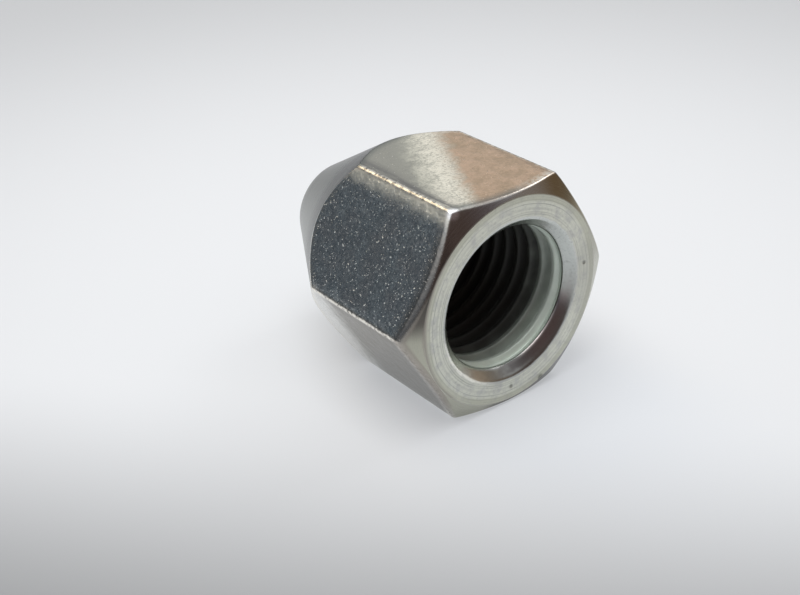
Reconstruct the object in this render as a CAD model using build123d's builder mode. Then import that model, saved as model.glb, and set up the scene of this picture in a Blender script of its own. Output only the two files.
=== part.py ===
from build123d import *
from math import cos, radians, sqrt, tan
import os

# A long hexagon union nut for a 6 mm pressure pipe. It is turned in one piece from drawn steel bar.
# The nut's axis is Y: the threaded mouth's face lies at Y = 0, and the pipe leaves by the nose at +Y.
# It lies on one of its six flats, which faces down (-Z).

# Hexagon bar
across_flats = 19.0            # wrench size
bar_edge_radius = 0.3          # rounding left on the six long edges by drawing

# Turned outside
nut_length = 24.0              # mouth face to nose tip
face_inset = 0.4               # the mouth face's round rim lies this far inside the flats
face_chamfer_angle = 30.0      # degrees from the face, cuts the corners at the mouth end
nose_half_angle = 30.0         # degrees from the axis, cuts the corners and forms the nose
nose_tip_wall = 1.3            # metal round the pipe hole, where the nose cone meets the tip
rim_softening = 0.1            # tumbled radius on the turned rims
arc_softening = 0.25           # tumbled radius where the flats meet the chamfer and the nose cone

# Metric fine thread, M14 x 1.5, left as its core hole
thread_diameter = 14.0
thread_pitch = 1.5
countersink_allowance = 0.1    # how far its rim at the mouth face lies outside the thread
countersink_half_angle = 45.0  # degrees from the axis
core_hole_depth = 13.5         # mouth face to the start of the shoulder

# Shoulder that presses on the pipe's head, and the hole for the pipe
shoulder_half_angle = 45.0     # degrees from the axis
pipe_diameter = 6.0
pipe_clearance = 0.2           # on the diameter
pipe_hole_edge_break = 0.3     # chamfer at the nose tip

# Radii and depths that follow from the sizes above
core_radius = (thread_diameter - 5 / 8 * sqrt(3) * thread_pitch) / 2
countersink_radius = thread_diameter / 2 + countersink_allowance
countersink_depth = (countersink_radius - core_radius) / tan(radians(countersink_half_angle))
pipe_hole_radius = (pipe_diameter + pipe_clearance) / 2
shoulder_depth = (core_radius - pipe_hole_radius) / tan(radians(shoulder_half_angle))
pipe_hole_start = core_hole_depth + shoulder_depth

# The turned envelope reaches a little past the bar's corners, so that it leaves the flats alone.
envelope_radius = across_flats / 2 / cos(radians(30)) + 1
face_radius = across_flats / 2 - face_inset
face_chamfer_end = (envelope_radius - face_radius) * tan(radians(face_chamfer_angle))
tip_radius = pipe_hole_radius + nose_tip_wall
nose_start = nut_length - (envelope_radius - tip_radius) / tan(radians(nose_half_angle))

# Sketches on this plane look along the axis from the mouth, and their normal is +Y.
across_axis = Plane(origin=(0, 0, 0), x_dir=(1, 0, 0), z_dir=(0, 1, 0))

with BuildPart() as flare_nut:
    # The bar, with its six long edges rounded
    with BuildSketch(across_axis) as bar_section:
        RegularPolygon(radius=across_flats / 2, side_count=6, major_radius=False)
        fillet(bar_section.vertices(), radius=bar_edge_radius)
    extrude(amount=nut_length)

    # Turning: the face chamfer and the nose cone trim the bar's corners.
    with BuildSketch(Plane.XY) as turned_profile:
        with BuildLine():
            Polyline(
                (0, 0),
                (face_radius, 0),
                (envelope_radius, face_chamfer_end),
                (envelope_radius, nose_start),
                (tip_radius, nut_length),
                (0, nut_length),
                close=True,
            )
        make_face()
        face_rim = turned_profile.vertices().sort_by_distance((face_radius, 0))[0]
        tip_rim = turned_profile.vertices().sort_by_distance((tip_radius, nut_length))[0]
        fillet([face_rim, tip_rim], radius=rim_softening)
    revolve(axis=Axis.Y, mode=Mode.INTERSECT)
    trimmed_arcs = flare_nut.edges().filter_by(
        lambda edge: edge.geom_type in (GeomType.HYPERBOLA, GeomType.BSPLINE)
    )
    fillet(trimmed_arcs, radius=arc_softening)

    # Boring: countersink, core hole of the thread, shoulder and pipe hole, in one profile
    with BuildSketch(Plane.XY):
        with BuildLine():
            Polyline(
                (0, 0),
                (countersink_radius, 0),
                (core_radius, countersink_depth),
                (core_radius, core_hole_depth),
                (pipe_hole_radius, pipe_hole_start),
                (pipe_hole_radius, nut_length - pipe_hole_edge_break),
                (pipe_hole_radius + pipe_hole_edge_break, nut_length),
                (0, nut_length),
                close=True,
            )
        make_face()
    revolve(axis=Axis.Y, mode=Mode.SUBTRACT)

os.makedirs("parts", exist_ok=True)
flare_nut.part.label = "flare_nut"
export_step(flare_nut.part, "parts/flare_nut.step")
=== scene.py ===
from math import atan2, cos, pi, radians, sin, sqrt, tan

import bpy
from mathutils import Matrix, Vector


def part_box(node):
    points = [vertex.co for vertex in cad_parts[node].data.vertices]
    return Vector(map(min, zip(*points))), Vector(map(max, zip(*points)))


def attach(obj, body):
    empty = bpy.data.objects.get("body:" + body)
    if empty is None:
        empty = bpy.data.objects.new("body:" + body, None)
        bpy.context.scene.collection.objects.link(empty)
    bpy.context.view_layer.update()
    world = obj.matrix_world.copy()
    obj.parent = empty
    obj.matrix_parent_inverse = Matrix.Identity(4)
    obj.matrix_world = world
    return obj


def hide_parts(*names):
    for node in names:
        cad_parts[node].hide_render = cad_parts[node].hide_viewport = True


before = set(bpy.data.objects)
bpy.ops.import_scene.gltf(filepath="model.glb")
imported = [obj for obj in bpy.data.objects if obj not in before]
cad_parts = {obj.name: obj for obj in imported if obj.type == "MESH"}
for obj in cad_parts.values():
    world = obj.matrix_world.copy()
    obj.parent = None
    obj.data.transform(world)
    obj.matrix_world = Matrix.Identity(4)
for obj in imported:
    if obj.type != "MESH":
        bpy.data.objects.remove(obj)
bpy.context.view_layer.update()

MM = 0.001


# ---------------------------------------------------------------------------------------------
# Outside of the nut: drawn hexagon bar of free-cutting steel, turned to a chamfer at the mouth and
# to a cone at the nose. One skin of columns round the axis and rows along it, and each row follows
# one feature, so the arcs where the cones cut the flats are true and softly rounded by tumbling.

nut_low, nut_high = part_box("flare_nut")
across_flats = (nut_high.z - nut_low.z) / MM
nut_length = (nut_high.y - nut_low.y) / MM
flat_distance = across_flats / 2
bar_edge_radius = 0.3
roll_off_start = 1.3
roll_off_drop = 0.08
face_inset = 0.4
face_radius = flat_distance - face_inset
face_slope = tan(radians(30))
nose_slope = tan(radians(30))
pipe_hole_radius = 3.1
pipe_hole_break = 0.3
nose_tip_wall = 1.3
tip_radius = pipe_hole_radius + nose_tip_wall
chamfer_softening = 0.33
left_extra_softening = 0.45
nose_softening = 0.3
rim_softening = 0.12

SIXTH = radians(60)
columns_per_flat = 34
columns_per_edge = 6


def column_angles():
    """Angles round the axis: evenly spaced across each flat, and close together at each long edge."""
    edge_half_angle = atan2(bar_edge_radius * sin(SIXTH / 2), flat_distance / cos(SIXTH / 2))
    angles = []
    for side in range(6):
        edge = side * SIXTH
        for step in range(columns_per_edge):
            angles.append(edge + edge_half_angle * (2 * step / columns_per_edge - 1))
        reach = flat_distance * tan(SIXTH / 2 - edge_half_angle)
        for step in range(columns_per_flat):
            along = reach * (2 * step / columns_per_flat - 1)
            angles.append(edge + SIXTH / 2 + atan2(along, flat_distance))
    return angles


def bar_radius(angle):
    """Distance from the axis to the drawn bar's skin, whose flats roll off a little to rounded edges."""
    off_edge = abs((angle + SIXTH / 2) % SIXTH - SIXTH / 2)
    arc_centre = (flat_distance - bar_edge_radius) / cos(SIXTH / 2)
    arc_end = atan2(bar_edge_radius * sin(SIXTH / 2), arc_centre + bar_edge_radius * cos(SIXTH / 2))
    from_edge = flat_distance * (tan(SIXTH / 2) - tan(SIXTH / 2 - max(off_edge, arc_end)))
    drop = roll_off_drop * max(0, 1 - from_edge / roll_off_start) ** 2
    if off_edge < arc_end:
        across = arc_centre * sin(off_edge)
        return arc_centre * cos(off_edge) + sqrt(bar_edge_radius ** 2 - across ** 2) - drop
    return flat_distance / cos(SIXTH / 2 - off_edge) - drop


def rounded_corner(before, corner, after, radius, steps):
    """Points of the arc that rounds a corner of an outline, from its first tangent point to its last."""
    to_before = (before - corner).normalized()
    to_after = (after - corner).normalized()
    half = to_before.angle(to_after) / 2
    centre = corner + (to_before + to_after).normalized() * radius / sin(half)
    start = corner + to_before * radius / tan(half) - centre
    end = corner + to_after * radius / tan(half) - centre
    turn = start.angle_signed(end)
    points = []
    for step in range(steps + 1):
        share = turn * step / steps
        spun = Vector((start.x * cos(share) + start.y * sin(share),
                       start.y * cos(share) - start.x * sin(share)))
        points.append(centre + spun)
    return points


def along(first, last, steps):
    """Evenly spaced points between two corners, without the two themselves."""
    return [first.lerp(last, step / steps) for step in range(1, steps)]


def outside_profile(angle, mouth_rim):
    """One column's outline as (radius, y, turned, worn) rows, from the mouth's rim to the pipe hole."""
    bar = bar_radius(angle)
    mouth = Vector((mouth_rim, 0))
    face_rim = Vector((face_radius, 0))
    chamfer_end = Vector((bar, (bar - face_radius) * face_slope))
    nose_start = Vector((bar, nut_length - (bar - tip_radius) / nose_slope))
    tip_rim = Vector((tip_radius, nut_length))
    hole_rim = Vector((pipe_hole_radius + pipe_hole_break, nut_length))
    rim_arc = rounded_corner(mouth, face_rim, chamfer_end, rim_softening, 3)
    softening = chamfer_softening + left_extra_softening * max(0, -cos(angle))
    chamfer_arc = rounded_corner(face_rim, chamfer_end, nose_start, softening, 6)
    nose_arc = rounded_corner(chamfer_end, nose_start, tip_rim, nose_softening, 6)
    tip_arc = rounded_corner(nose_start, tip_rim, hole_rim, rim_softening, 3)
    rows = [(mouth, 1, 0)]
    rows += [(point, 1, 0) for point in along(mouth, rim_arc[0], 8)]
    rows += [(point, 1, 1) for point in rim_arc]
    rows += [(point, 1, 0) for point in along(rim_arc[-1], chamfer_arc[0], 5)]
    for step, point in enumerate(chamfer_arc):
        rows.append((point, 1 - step / 6, 1))
    rows += [(point, 0, 0) for point in along(chamfer_arc[-1], nose_arc[0], 18)]
    for step, point in enumerate(nose_arc):
        rows.append((point, step / 6, 1))
    rows += [(point, 1, 0) for point in along(nose_arc[-1], tip_arc[0], 14)]
    rows += [(point, 1, 1) for point in tip_arc]
    rows += [(point, 1, 0) for point in along(tip_arc[-1], hole_rim, 3)]
    rows.append((hole_rim, 1, 1))
    return rows


# ---------------------------------------------------------------------------------------------
# Inside of the nut: a countersunk mouth, an M14 x 1.5 right-hand thread, the shoulder that presses
# on the pipe's head, and the pipe hole. The rows climb with the thread, so that its rounded crests
# and roots run smoothly. The groove deepens over a short lead-in and fades out before the shoulder.

thread_pitch = 1.5
thread_radius = 7.0
core_radius = thread_radius - 5 / 16 * sqrt(3) * thread_pitch
countersink_rim = thread_radius + 0.1
thread_end = 11.6
thread_fade = 1.2
core_hole_depth = 13.5
shoulder_end = core_hole_depth + core_radius - pipe_hole_radius
groove_start = 1.13
lead_in_start = 0.7
lead_in_end = 2.1
root_half = 0.02
crest_half = 0.1
countersink_rounding = 0.25
mouth_rounding = 0.5
mouth_rim = countersink_rim + mouth_rounding * tan(radians(22.5))
rows_per_turn = 26


def thread_depth(along_axis):
    """Depth of the groove outside the core hole: steep flanks, with the crest and root rounded."""
    from_root = abs((along_axis / thread_pitch + 0.5) % 1 - 0.5) * thread_pitch
    down_flank = (from_root - root_half) / (thread_pitch / 2 - root_half - crest_half)
    share = min(1, max(0, down_flank))
    return (thread_radius - core_radius) * (1 - share * share * (3 - 2 * share))


def inside_radius(angle, y):
    """Radius of the inside wall: whatever was cut deepest there."""
    cut = core_radius
    if y < thread_end + thread_fade:
        fade_out = min(1, max(0, (thread_end + thread_fade - y) / thread_fade))
        fade_in = min(1, max(0, (y - lead_in_start) / (lead_in_end - lead_in_start)))
        turn = y + thread_pitch * angle / (2 * pi) - groove_start
        cut += thread_depth(turn) * fade_in * fade_out
    if y > core_hole_depth:
        cut = core_radius - (y - core_hole_depth)
    overlap = max(0, countersink_rounding - abs(countersink_rim - y - cut)) / countersink_rounding
    cut = max(cut, pipe_hole_radius, countersink_rim - y) + overlap ** 2 * countersink_rounding / 4
    if y < mouth_rounding * (1 - cos(radians(45))):
        cut = mouth_rim - sqrt(mouth_rounding ** 2 - (mouth_rounding - y) ** 2)
    if y > nut_length - pipe_hole_break:
        cut = max(cut, pipe_hole_radius + y - (nut_length - pipe_hole_break))
    return cut


def build_nut():
    """The whole skin as one closed mesh, with the finish's guides stored on its points."""
    angles = column_angles()
    columns = len(angles)
    points, turned, worn, bored = [], [], [], []

    def place(radius, angle, y, how_turned, how_worn, how_bored):
        points.append((radius * cos(angle) * MM, y * MM, radius * sin(angle) * MM))
        turned.append(how_turned)
        worn.append(how_worn)
        bored.append(how_bored)
        return len(points) - 1

    outside = []
    for angle in angles:
        rows = outside_profile(angle, mouth_rim)
        outside.append([place(p.x, angle, p.y, how, wear, 0) for p, how, wear in rows])
    faces = []
    for column in range(columns):
        here, there = outside[column], outside[(column + 1) % columns]
        for row in range(len(here) - 1):
            faces.append((here[row], here[row + 1], there[row + 1], there[row]))

    # Inside: the climbing rows of the thread end in level rows below it.
    lowest = core_hole_depth - 0.4
    climb_rows = (int(lowest / thread_pitch) + 3) * rows_per_turn
    step_y = thread_pitch / rows_per_turn
    inside = []
    for column, angle in enumerate(angles):
        fall = thread_pitch * (angle - angles[0]) / (2 * pi)
        line, last_y = [outside[column][0]], 0
        for row in range(1, climb_rows + 1):
            y = min(row * step_y - fall, lowest)
            if y <= 0 or y - last_y < 1e-6:
                line.append(line[-1])
                continue
            line.append(place(inside_radius(angle, y), angle, y, 1, 0, 1))
            last_y = y
        inside.append(line)
    for column in range(columns):
        wraps = column == columns - 1
        here, there = inside[column], inside[0 if wraps else column + 1]
        shift = rows_per_turn if wraps else 0
        for row in range(climb_rows):
            first, second = max(row - shift, 0), max(row + 1 - shift, 0)
            corners = [here[row], there[first], there[second], here[row + 1]]
            kept = [point for place_in, point in enumerate(corners) if point != corners[place_in - 1]]
            if len(kept) > 2:
                faces.append(tuple(kept))

    # Level rows: the end of the core hole, the shoulder, the pipe hole and its broken edge.
    level = [core_hole_depth]
    level += [core_hole_depth + (shoulder_end - core_hole_depth) * n / 5 for n in range(1, 6)]
    hole_end = nut_length - pipe_hole_break
    level += [shoulder_end + (hole_end - shoulder_end) * n / 6 for n in range(1, 7)]
    previous = [line[-1] for line in inside]
    for y in level:
        ring = [place(inside_radius(angle, y), angle, y, 1, 0, 1) for angle in angles]
        for column in range(columns):
            after = (column + 1) % columns
            faces.append((previous[column], previous[after], ring[after], ring[column]))
        previous = ring
    last = [line[-1] for line in outside]
    for column in range(columns):
        after = (column + 1) % columns
        faces.append((previous[column], previous[after], last[after], last[column]))

    mesh = bpy.data.meshes.new("flare_nut_skin")
    mesh.from_pydata(points, [], faces)
    for name, values in (("turned", turned), ("worn", worn), ("bored", bored)):
        guide = mesh.attributes.new(name, "FLOAT", "POINT")
        guide.data.foreach_set("value", values)
    mesh.validate()
    mesh.update()
    mesh.shade_smooth()
    return mesh


nut = bpy.data.objects.new("flare_nut_skin", build_nut())
bpy.context.scene.collection.objects.link(nut)


class Wire:
    """A socket of a shader tree. Arithmetic on wires adds the nodes that work it out."""

    def __init__(self, tree, socket=None):
        self.tree = tree
        self.socket = socket

    def node(self, kind, sockets, output=0, **settings):
        """Adds a node: its settings first, then the values or wires of its sockets."""
        made = self.tree.nodes.new(kind)
        for name, value in settings.items():
            setattr(made, name, value)
        for name, value in sockets.items():
            if isinstance(value, Wire):
                self.tree.links.new(value.socket, made.inputs[name])
            else:
                made.inputs[name].default_value = value
        return Wire(self.tree, made.outputs[output] if made.outputs else None)

    def math(self, operation, first, second=0.0):
        return self.node("ShaderNodeMath", {0: first, 1: second}, operation=operation)

    def __add__(self, other):
        return self.math("ADD", self, other)

    def __radd__(self, other):
        return self.math("ADD", other, self)

    def __sub__(self, other):
        return self.math("SUBTRACT", self, other)

    def __rsub__(self, other):
        return self.math("SUBTRACT", other, self)

    def __mul__(self, other):
        return self.math("MULTIPLY", self, other)

    def __rmul__(self, other):
        return self.math("MULTIPLY", other, self)

    def __truediv__(self, other):
        return self.math("DIVIDE", self, other)

    def __pow__(self, other):
        return self.math("POWER", self, other)

    def ramp(self, low, high):
        """0 below low, 1 above high and smooth between; low over high turns it round."""
        sockets = {"Value": self, "From Min": low, "From Max": high}
        return self.node("ShaderNodeMapRange", sockets, interpolation_type="SMOOTHSTEP")

    def blend(self, low, high):
        """The colour low where this is 0 and high where it is 1."""
        sockets = {0: self, 6: low, 7: high}
        return self.node("ShaderNodeMix", sockets, output=2, data_type="RGBA")


def rgb(red, green, blue):
    return (red, green, blue, 1)


def zinc_plated_steel():
    """Clear zinc plate: satin and pitted on the drawn flats, ringed by the tool where it was turned, with
    reflections, highlights and shade painted into its colour in places.
    """
    material = bpy.data.materials.new("zinc_plated_steel")
    material.use_nodes = True
    tree = material.node_tree
    tree.nodes.clear()
    start = Wire(tree)
    place = start.node("ShaderNodeTexCoord", {}, output="Object")
    place = start.node("ShaderNodeVectorMath", {0: place, "Scale": 1 / MM}, operation="SCALE")
    x, y, z = (start.node("ShaderNodeSeparateXYZ", {0: place}, output=name) for name in "XYZ")
    turned = start.node("ShaderNodeAttribute", {}, output="Fac", attribute_name="turned")
    worn = start.node("ShaderNodeAttribute", {}, output="Fac", attribute_name="worn")
    bored = start.node("ShaderNodeAttribute", {}, output="Fac", attribute_name="bored")
    radius = (x * x + z * z) ** 0.5
    on_face = y.ramp(0.06, 0.0) * (1 - bored)
    flat = 1 - turned

    def noise(scale, detail=2.0, rough=0.5, at=place, twist=0.0):
        sockets = {"Vector": at, "Scale": scale, "Detail": detail, "Roughness": rough, "Distortion": twist}
        return start.node("ShaderNodeTexNoise", sockets)

    # Tool marks: rings that depend on the radius on the face and on the depth elsewhere.
    wander = noise(0.25) * 0.25
    feed = radius * on_face + (y + radius) * (1 - on_face) + wander
    line = start.node("ShaderNodeCombineXYZ", {0: feed, 1: 0.0, 2: 0.0})
    fine_rings = noise(5.5, 3.0, 0.65, line)
    broad_rings = noise(1.6, 1.0, 0.5, line)

    # Drawn flats: a satin skin with fine pits, bright nicks and short strokes.
    grain = noise(4.5, 4.0, 0.65)
    dimple = noise(1.1, 2.0, 0.5)
    nick = noise(3.4, 2.0, 0.6, twist=0.8).ramp(0.68, 0.80) * flat
    speck = noise(7.5, 1.0, 0.5, twist=0.4).ramp(0.69, 0.86) * flat

    # The flats one by one: each mask is 1 on its flat.
    top = z.ramp(9.1, 9.4) * flat
    upper_left = (z * 0.5 - x * 0.866).ramp(9.1, 9.4) * flat
    lower_left = (z * -0.5 - x * 0.866).ramp(9.1, 9.4) * flat
    up_the_left = z * 0.866 + x * 0.5

    # Colour: grey zinc with faint olive, pink and blue films.
    film = noise(0.16, 2.0, 0.6)
    zinc = film.ramp(0.35, 0.65).blend(rgb(0.60, 0.61, 0.58), rgb(0.66, 0.64, 0.62))

    # The face is greenish and finely ringed, and olive round its rim.
    ring_strength = noise(0.35, 2.0).ramp(0.3, 0.7) * 0.6 + 0.4
    face_tone = (fine_rings * 0.7 + broad_rings * 0.3).ramp(0.54, 0.40) * ring_strength
    face_zinc = face_tone.blend(rgb(0.675, 0.68, 0.60), rgb(0.29, 0.295, 0.26))
    face_zinc = (noise(0.9, 4.0, 0.6).ramp(0.45, 0.7) * 0.6).blend(face_zinc, rgb(0.43, 0.43, 0.43))
    face_zinc = (grain.ramp(0.5, 0.7) * 0.4).blend(face_zinc, rgb(0.30, 0.30, 0.28))
    face_zinc = ((radius + wander).ramp(8.5, 8.9) * 0.5).blend(face_zinc, rgb(0.48, 0.48, 0.38))
    face_zinc = (x.ramp(6.0, 8.0) * z.ramp(4.5, 1.5) * 0.4).blend(face_zinc, rgb(0.36, 0.36, 0.33))
    zinc = on_face.blend(zinc, face_zinc)

    # The chamfer's colour is painted by position round the axis, as the reflections and shade it shows:
    # grey-blue in the middle, brownish and then dark to the left, tan at the upper right, olive at the
    # right and on the lower side, and painted shade at the bottom beside the table.
    chamfer = turned * (1 - on_face) * (1 - bored) * y.ramp(4.0, 3.0)
    chamfer_painted_light = (x + wander).ramp(-5.0, -2.0).blend(rgb(0.40, 0.37, 0.33), rgb(0.52, 0.54, 0.56))
    chamfer_painted_light = x.ramp(-5.5, -8.0).blend(chamfer_painted_light, rgb(0.15, 0.14, 0.125))
    chamfer_painted_light = (x.ramp(2.0, 5.0) * z.ramp(2.0, 5.0)).blend(chamfer_painted_light, rgb(0.33, 0.275, 0.18))
    chamfer_painted_light = x.ramp(6.5, 8.5).blend(chamfer_painted_light, rgb(0.34, 0.335, 0.27))
    chamfer_painted_light = (z + wander * 4).ramp(2.2, 0.4).blend(chamfer_painted_light, rgb(0.44, 0.44, 0.37))
    chamfer_painted_light = (x.ramp(-3.5, -1.0) * z.ramp(-5.5, -7.0)).blend(chamfer_painted_light, rgb(0.12, 0.12, 0.11))
    zinc = chamfer.blend(zinc, chamfer_painted_light)
    # The nose is painted nearly black as a dark reflection, lighter towards its tip.
    nose = turned * (1 - bored) * y.ramp(5.0, 6.0)
    nose_dark_painted_reflection = (y + wander).ramp(16.0, 18.8).blend(rgb(0.075, 0.08, 0.076), rgb(0.165, 0.175, 0.16))
    zinc = nose.blend(zinc, nose_dark_painted_reflection)

    # Upper left flat: slate, with a paler strip along its upper edge, burnished and painted paler as a
    # highlight.
    burnish_and_highlight = (up_the_left + dimple * 0.8 - 0.4).ramp(3.6, 4.9)
    slate = noise(0.5, 3.0).ramp(0.35, 0.65).blend(rgb(0.93, 1.0, 1.0), rgb(0.92, 0.93, 0.91))
    slate = (noise(2.2, 3.0, 0.7).ramp(0.56, 0.42) * 0.4).blend(slate, rgb(0.42, 0.47, 0.50))
    slate = (grain.ramp(0.55, 0.42) * 0.4).blend(slate, rgb(0.50, 0.55, 0.56))
    slate = burnish_and_highlight.blend(slate, rgb(1.0, 1.0, 0.90))
    zinc = upper_left.blend(zinc, slate)

    # Lower left flat: painted dark towards the mouth, as the shaded table beneath the nut that it mirrors,
    # and brighter towards the nose.
    lower_left_painted_shade = (y + dimple * 3).ramp(14.7, 10.8).blend(rgb(0.76, 0.76, 0.74), rgb(0.20, 0.19, 0.165))
    zinc = lower_left.blend(zinc, lower_left_painted_shade)

    # Top flat: a bright painted highlight runs across it at a slant, with a painted tan reflection before
    # it, a darker painted reflection beyond it and a dark painted reflection along its left edge.
    across_painted_streak = x * 0.88 - (y - 8.19) * 0.475 + (dimple - 0.5) * 1.6
    painted_streak = across_painted_streak.ramp(-3.4, -0.5) * across_painted_streak.ramp(1.5, -0.4)
    mottle = (grain * 0.75 + dimple * 0.25).ramp(0.40, 0.58)
    drawn = start.node("ShaderNodeVectorMath", {0: place, 1: (2.0, 0.12, 2.0)}, operation="MULTIPLY")
    drawn = noise(1.0, 3.0, 0.6, drawn)
    satin = mottle.blend(rgb(0.35, 0.355, 0.32), rgb(0.52, 0.53, 0.46))
    satin = across_painted_streak.ramp(-1.5, -4.0).blend(satin, rgb(0.36, 0.36, 0.33))
    painted_tan_reflection = (grain * 0.5 + dimple * 0.5).ramp(0.35, 0.65)
    painted_tan_reflection = painted_tan_reflection.blend(rgb(0.45, 0.33, 0.225), rgb(0.64, 0.455, 0.33))
    satin = across_painted_streak.ramp(-1.0, 1.5).blend(satin, painted_tan_reflection)
    satin = (painted_streak * (0.45 + mottle * 0.55)).blend(satin, rgb(1.0, 0.96, 0.85))
    painted_dark_edge = x.ramp(-3.6, -5.0) * (0.35 + drawn.ramp(0.6, 0.4) * 0.5)
    satin = painted_dark_edge.blend(satin, rgb(0.16, 0.16, 0.165))
    zinc = top.blend(zinc, satin)

    # The countersink is as pale as the face, painted paler towards its top and at its lower left as
    # highlights, and dark brown at its lower right as a painted dark reflection.
    countersink = bored * y.ramp(0.98, 0.84)
    dark_reflection_way = (x * 0.57 - z * 0.82) / radius + (dimple - 0.5) * 0.3
    painted_dark_reflection = dark_reflection_way.ramp(0.62, 0.86)
    painted_dark_reflection = painted_dark_reflection * (radius + dimple * 0.4).ramp(7.25, 6.9)
    countersink_painted_light = z.ramp(-1.5, 3.0).blend(rgb(0.42, 0.43, 0.41), rgb(0.54, 0.56, 0.53))
    countersink_painted_light = (x.ramp(-1.5, -4.0) * z.ramp(0.0, -2.0)).blend(countersink_painted_light, rgb(0.82, 0.81, 0.73))
    countersink_painted_light = (grain.ramp(0.5, 0.7) * 0.4).blend(countersink_painted_light, rgb(0.25, 0.25, 0.24))
    brown = x.ramp(1.0, 4.0).blend(rgb(0.20, 0.19, 0.185), rgb(0.40, 0.355, 0.345))
    countersink_painted_light = painted_dark_reflection.blend(countersink_painted_light, brown)
    zinc = countersink.blend(zinc, countersink_painted_light)

    # The bore is pale over its lead-in, then painted ever darker with depth as the shade inside it.
    bore = bored * y.ramp(0.84, 0.98)
    zinc = bore.blend(zinc, rgb(0.91, 1.0, 0.90))
    depth_painted_shade = (y + z * 0.03 + noise(0.6) * 1.2).ramp(1.1, 5.9) * bored
    zinc = depth_painted_shade.blend(zinc, rgb(0.05, 0.05, 0.045))

    # Worn edges and nicks show brighter metal, and the edges are painted brighter still as highlights.
    long_edge = radius.ramp(10.72, 10.86) * flat
    arc_wear_and_highlight = worn * flat * (1 - top * x.ramp(4.0, -1.0))
    edge_wear_and_highlight = (arc_wear_and_highlight * 0.8 + long_edge) * noise(2.8, 3.0, 0.7).ramp(0.36, 0.56)
    zinc = edge_wear_and_highlight.blend(zinc, rgb(0.86, 0.83, 0.76))
    # The left half of the mouth's arc on the top flat is painted dark as a dark reflection.
    zinc = (worn * top * x.ramp(3.0, 0.0) * 0.7).blend(zinc, rgb(0.13, 0.15, 0.15))
    # The arc between the upper left flat and the chamfer is painted darker, as shade.
    left_arc_painted_shade = worn * x.ramp(-5.5, -7.0) * y.ramp(3.5, 2.5)
    zinc = (left_arc_painted_shade * 0.65).blend(zinc, rgb(0.30, 0.27, 0.24))
    # A painted white glint at the near corner of the top and upper left flats.
    glint_corner = {0: place, 1: (-5.35, 0.95, 9.3)}
    from_painted_glint = start.node("ShaderNodeVectorMath", glint_corner, output="Value", operation="DISTANCE")
    zinc = from_painted_glint.ramp(0.75, 0.25).blend(zinc, rgb(1.0, 1.0, 1.0))
    zinc = ((nick + speck) * 0.55).blend(zinc, rgb(0.86, 0.88, 0.82))

    # Three small dark dents in the face.
    def pit(at_x, at_z, size):
        way = {0: place, 1: (at_x, 0.0, at_z)}
        away = start.node("ShaderNodeVectorMath", way, output="Value", operation="DISTANCE")
        return (away + grain * 0.15).ramp(size + 0.15, size - 0.05)

    dents = pit(7.96, 0.84, 0.18) + pit(-0.15, -7.98, 0.20) + pit(3.2, -8.5, 0.30)
    zinc = (dents * 0.6).blend(zinc, rgb(0.10, 0.10, 0.09))

    rough_flat = 0.16 + grain * 0.14 + burnish_and_highlight * upper_left * 0.1
    rough_turned = 0.20 + fine_rings * 0.12 + on_face * 0.14 + bored * y.ramp(0.9, 1.2) * 0.25
    roughness = rough_flat * flat + rough_turned * turned
    roughness = roughness + (nick + speck) * 0.3

    height = grain * flat * 0.009 + dimple * flat * 0.05 + (nick + speck) * 0.02
    height = height - dents * 0.05 + (fine_rings * 0.010 + broad_rings * 0.012) * turned
    bump = start.node("ShaderNodeBump", {"Height": height * MM, "Strength": 1.0, "Distance": 1.0},
                      output="Normal")
    metallic = 1 - bored * y.ramp(0.92, 1.1) * 0.7
    shader = start.node("ShaderNodeBsdfPrincipled", {
        "Base Color": zinc, "Metallic": metallic, "Roughness": roughness, "Normal": bump})
    start.node("ShaderNodeOutputMaterial", {"Surface": shader})
    return material


nut.data.materials.append(zinc_plated_steel())
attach(nut, "root")
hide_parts("flare_nut")


# ---------------------------------------------------------------------------------------------
# Table: a sheet of plain white paper, larger than the view, at the height of the nut's lower flat.
# Its colour and glow are painted darker away from the nut, faster towards the near side, as a painted
# falloff of the light, and for the rays the metal mirrors the far side is painted darker still.

table_half = 0.8
table = bpy.data.meshes.new("table")
table.from_pydata([(-table_half, -table_half, nut_low.z), (table_half, -table_half, nut_low.z),
                   (table_half, table_half, nut_low.z), (-table_half, table_half, nut_low.z)],
                  [], [(0, 1, 2, 3)])
table = bpy.data.objects.new("table", table)
bpy.context.scene.collection.objects.link(table)
paper = bpy.data.materials.new("white_paper")
paper.use_nodes = True
sheet = Wire(paper.node_tree)
spot = sheet.node("ShaderNodeTexCoord", {}, output="Object")
middle = {0: spot, 1: (0.008, 0.020, nut_low.z)}
from_middle = sheet.node("ShaderNodeVectorMath", middle, output="Value", operation="DISTANCE")
near_way = {0: spot, 1: (-0.75, -0.66, 0)}
nearer = sheet.node("ShaderNodeVectorMath", near_way, output="Value", operation="DOT_PRODUCT")
mirrored = sheet.node("ShaderNodeLightPath", {}, output="Is Glossy Ray")
painted_falloff = from_middle.ramp(0.020, 0.13) * 0.30 + mirrored * from_middle.ramp(0.10, 0.30) * 0.45
painted_falloff = painted_falloff + nearer.ramp(0.0, 0.036) * (1 - mirrored * 0.6) * 0.55
paper_shader = paper.node_tree.nodes["Principled BSDF"]
for socket_name, pale, dim in (("Base Color", rgb(0.42, 0.433, 0.45), rgb(0, 0, 0)),
                               ("Emission Color", rgb(0.95, 0.975, 1.01), rgb(0, 0, 0))):
    paper.node_tree.links.new(painted_falloff.blend(pale, dim).socket, paper_shader.inputs[socket_name])
# The paper glows a little, which lightens the nut's shadow on it.
paper_shader.inputs["Emission Strength"].default_value = 0.37
paper_shader.inputs["Roughness"].default_value = 0.9
paper_shader.inputs["Specular IOR Level"].default_value = 0.2
table.data.materials.append(paper)


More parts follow.
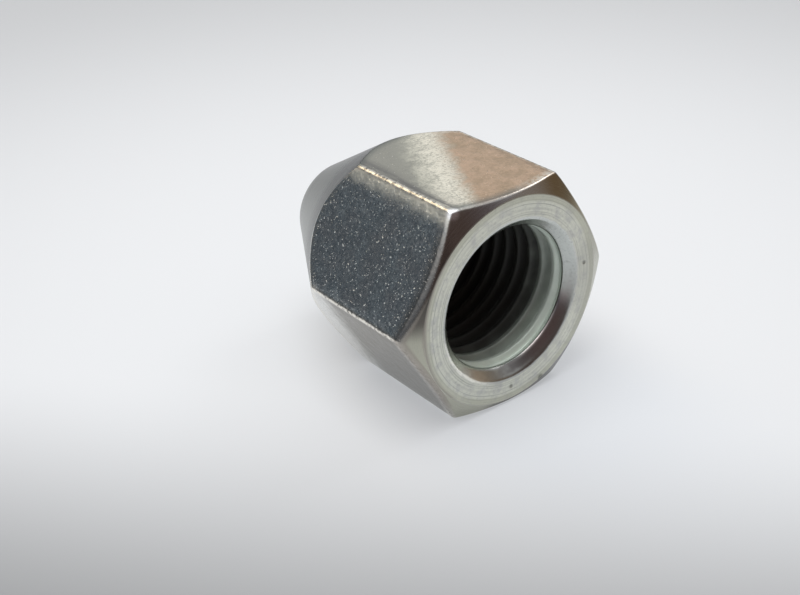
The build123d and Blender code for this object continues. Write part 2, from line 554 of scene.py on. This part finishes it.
# ---------------------------------------------------------------------------------------------
# Light: a broad soft lamp overhead and the dim walls of a room, which the bright metal mirrors.

lamp_place = Vector((-0.12, 0.02, 0.60))
lamp_target = Vector((0, 0.01, 0))
lamp = bpy.data.lights.new("overhead_softbox", "AREA")
lamp.shape = "SQUARE"
lamp.size = 0.5
lamp.energy = 2.2
softbox = bpy.data.objects.new("overhead_softbox", lamp)
softbox.location = lamp_place
softbox.rotation_euler = (lamp_target - lamp_place).to_track_quat("-Z", "Y").to_euler()
bpy.context.scene.collection.objects.link(softbox)

room = bpy.data.worlds.new("room")
bpy.context.scene.world = room
room.use_nodes = True
room.node_tree.nodes.clear()
sky = Wire(room.node_tree)
ray = sky.node("ShaderNodeTexCoord", {}, output="Generated")
up = sky.node("ShaderNodeSeparateXYZ", {0: ray}, output="Z")


def towards(azimuth, elevation, inner, outer):
    """1 in a round patch of the room in that direction, 0 outside it; angles in degrees."""
    a, e = radians(azimuth), radians(elevation)
    way = {0: ray, 1: (sin(a) * cos(e), cos(a) * cos(e), sin(e))}
    facing = sky.node("ShaderNodeVectorMath", way, output="Value", operation="DOT_PRODUCT")
    return facing.ramp(cos(radians(outer)), cos(radians(inner)))


walls = up.ramp(0.1, 0.75).blend(rgb(0.10, 0.11, 0.13), rgb(0.75, 0.76, 0.78))
walls = towards(-44, 11, 10, 22).blend(walls, rgb(0.047, 0.057, 0.069))
walls = towards(-175, 16, 30, 50).blend(walls, rgb(0.10, 0.07, 0.065))
walls = towards(39, 24, 7, 16).blend(walls, rgb(0.80, 0.80, 0.77))
walls = towards(120, 5, 18, 34).blend(walls, rgb(0.26, 0.20, 0.15))
walls = towards(-12, 44, 12, 24).blend(walls, rgb(2.2, 1.8, 1.25))
walls = towards(90, 43, 7, 14).blend(walls, rgb(3.5, 3.5, 3.5))
seen = sky.node("ShaderNodeLightPath", {}, output="Is Camera Ray")
walls = seen.blend(walls, rgb(0.80, 0.80, 0.82))
background = sky.node("ShaderNodeBackground", {"Color": walls, "Strength": 1.0})
sky.node("ShaderNodeOutputWorld", {"Surface": background})


# ---------------------------------------------------------------------------------------------
# Camera: hand-held in front of the mouth, to its left and above it.

eye = Vector((-61.0, -66.3, 51.3)) * MM
looking_at = Vector((-3.478, 10.45, -2.672)) * MM
tilt = radians(2.365)
forward = (looking_at - eye).normalized()
level_right = forward.cross(Vector((0, 0, 1))).normalized()
level_up = level_right.cross(forward)
camera_right = level_right * cos(tilt) - level_up * sin(tilt)
camera_up = level_up * cos(tilt) + level_right * sin(tilt)
camera_data = bpy.data.cameras.new("camera")
camera_data.sensor_width = 36
camera_data.lens = 57.89
camera_data.clip_start = 0.005
camera = bpy.data.objects.new("camera", camera_data)
turn = Matrix((camera_right, camera_up, -forward)).transposed()
camera.matrix_world = Matrix.Translation(eye) @ turn.to_4x4()
bpy.context.scene.collection.objects.link(camera)
bpy.context.scene.camera = camera
bpy.context.scene.view_settings.view_transform = "Standard"
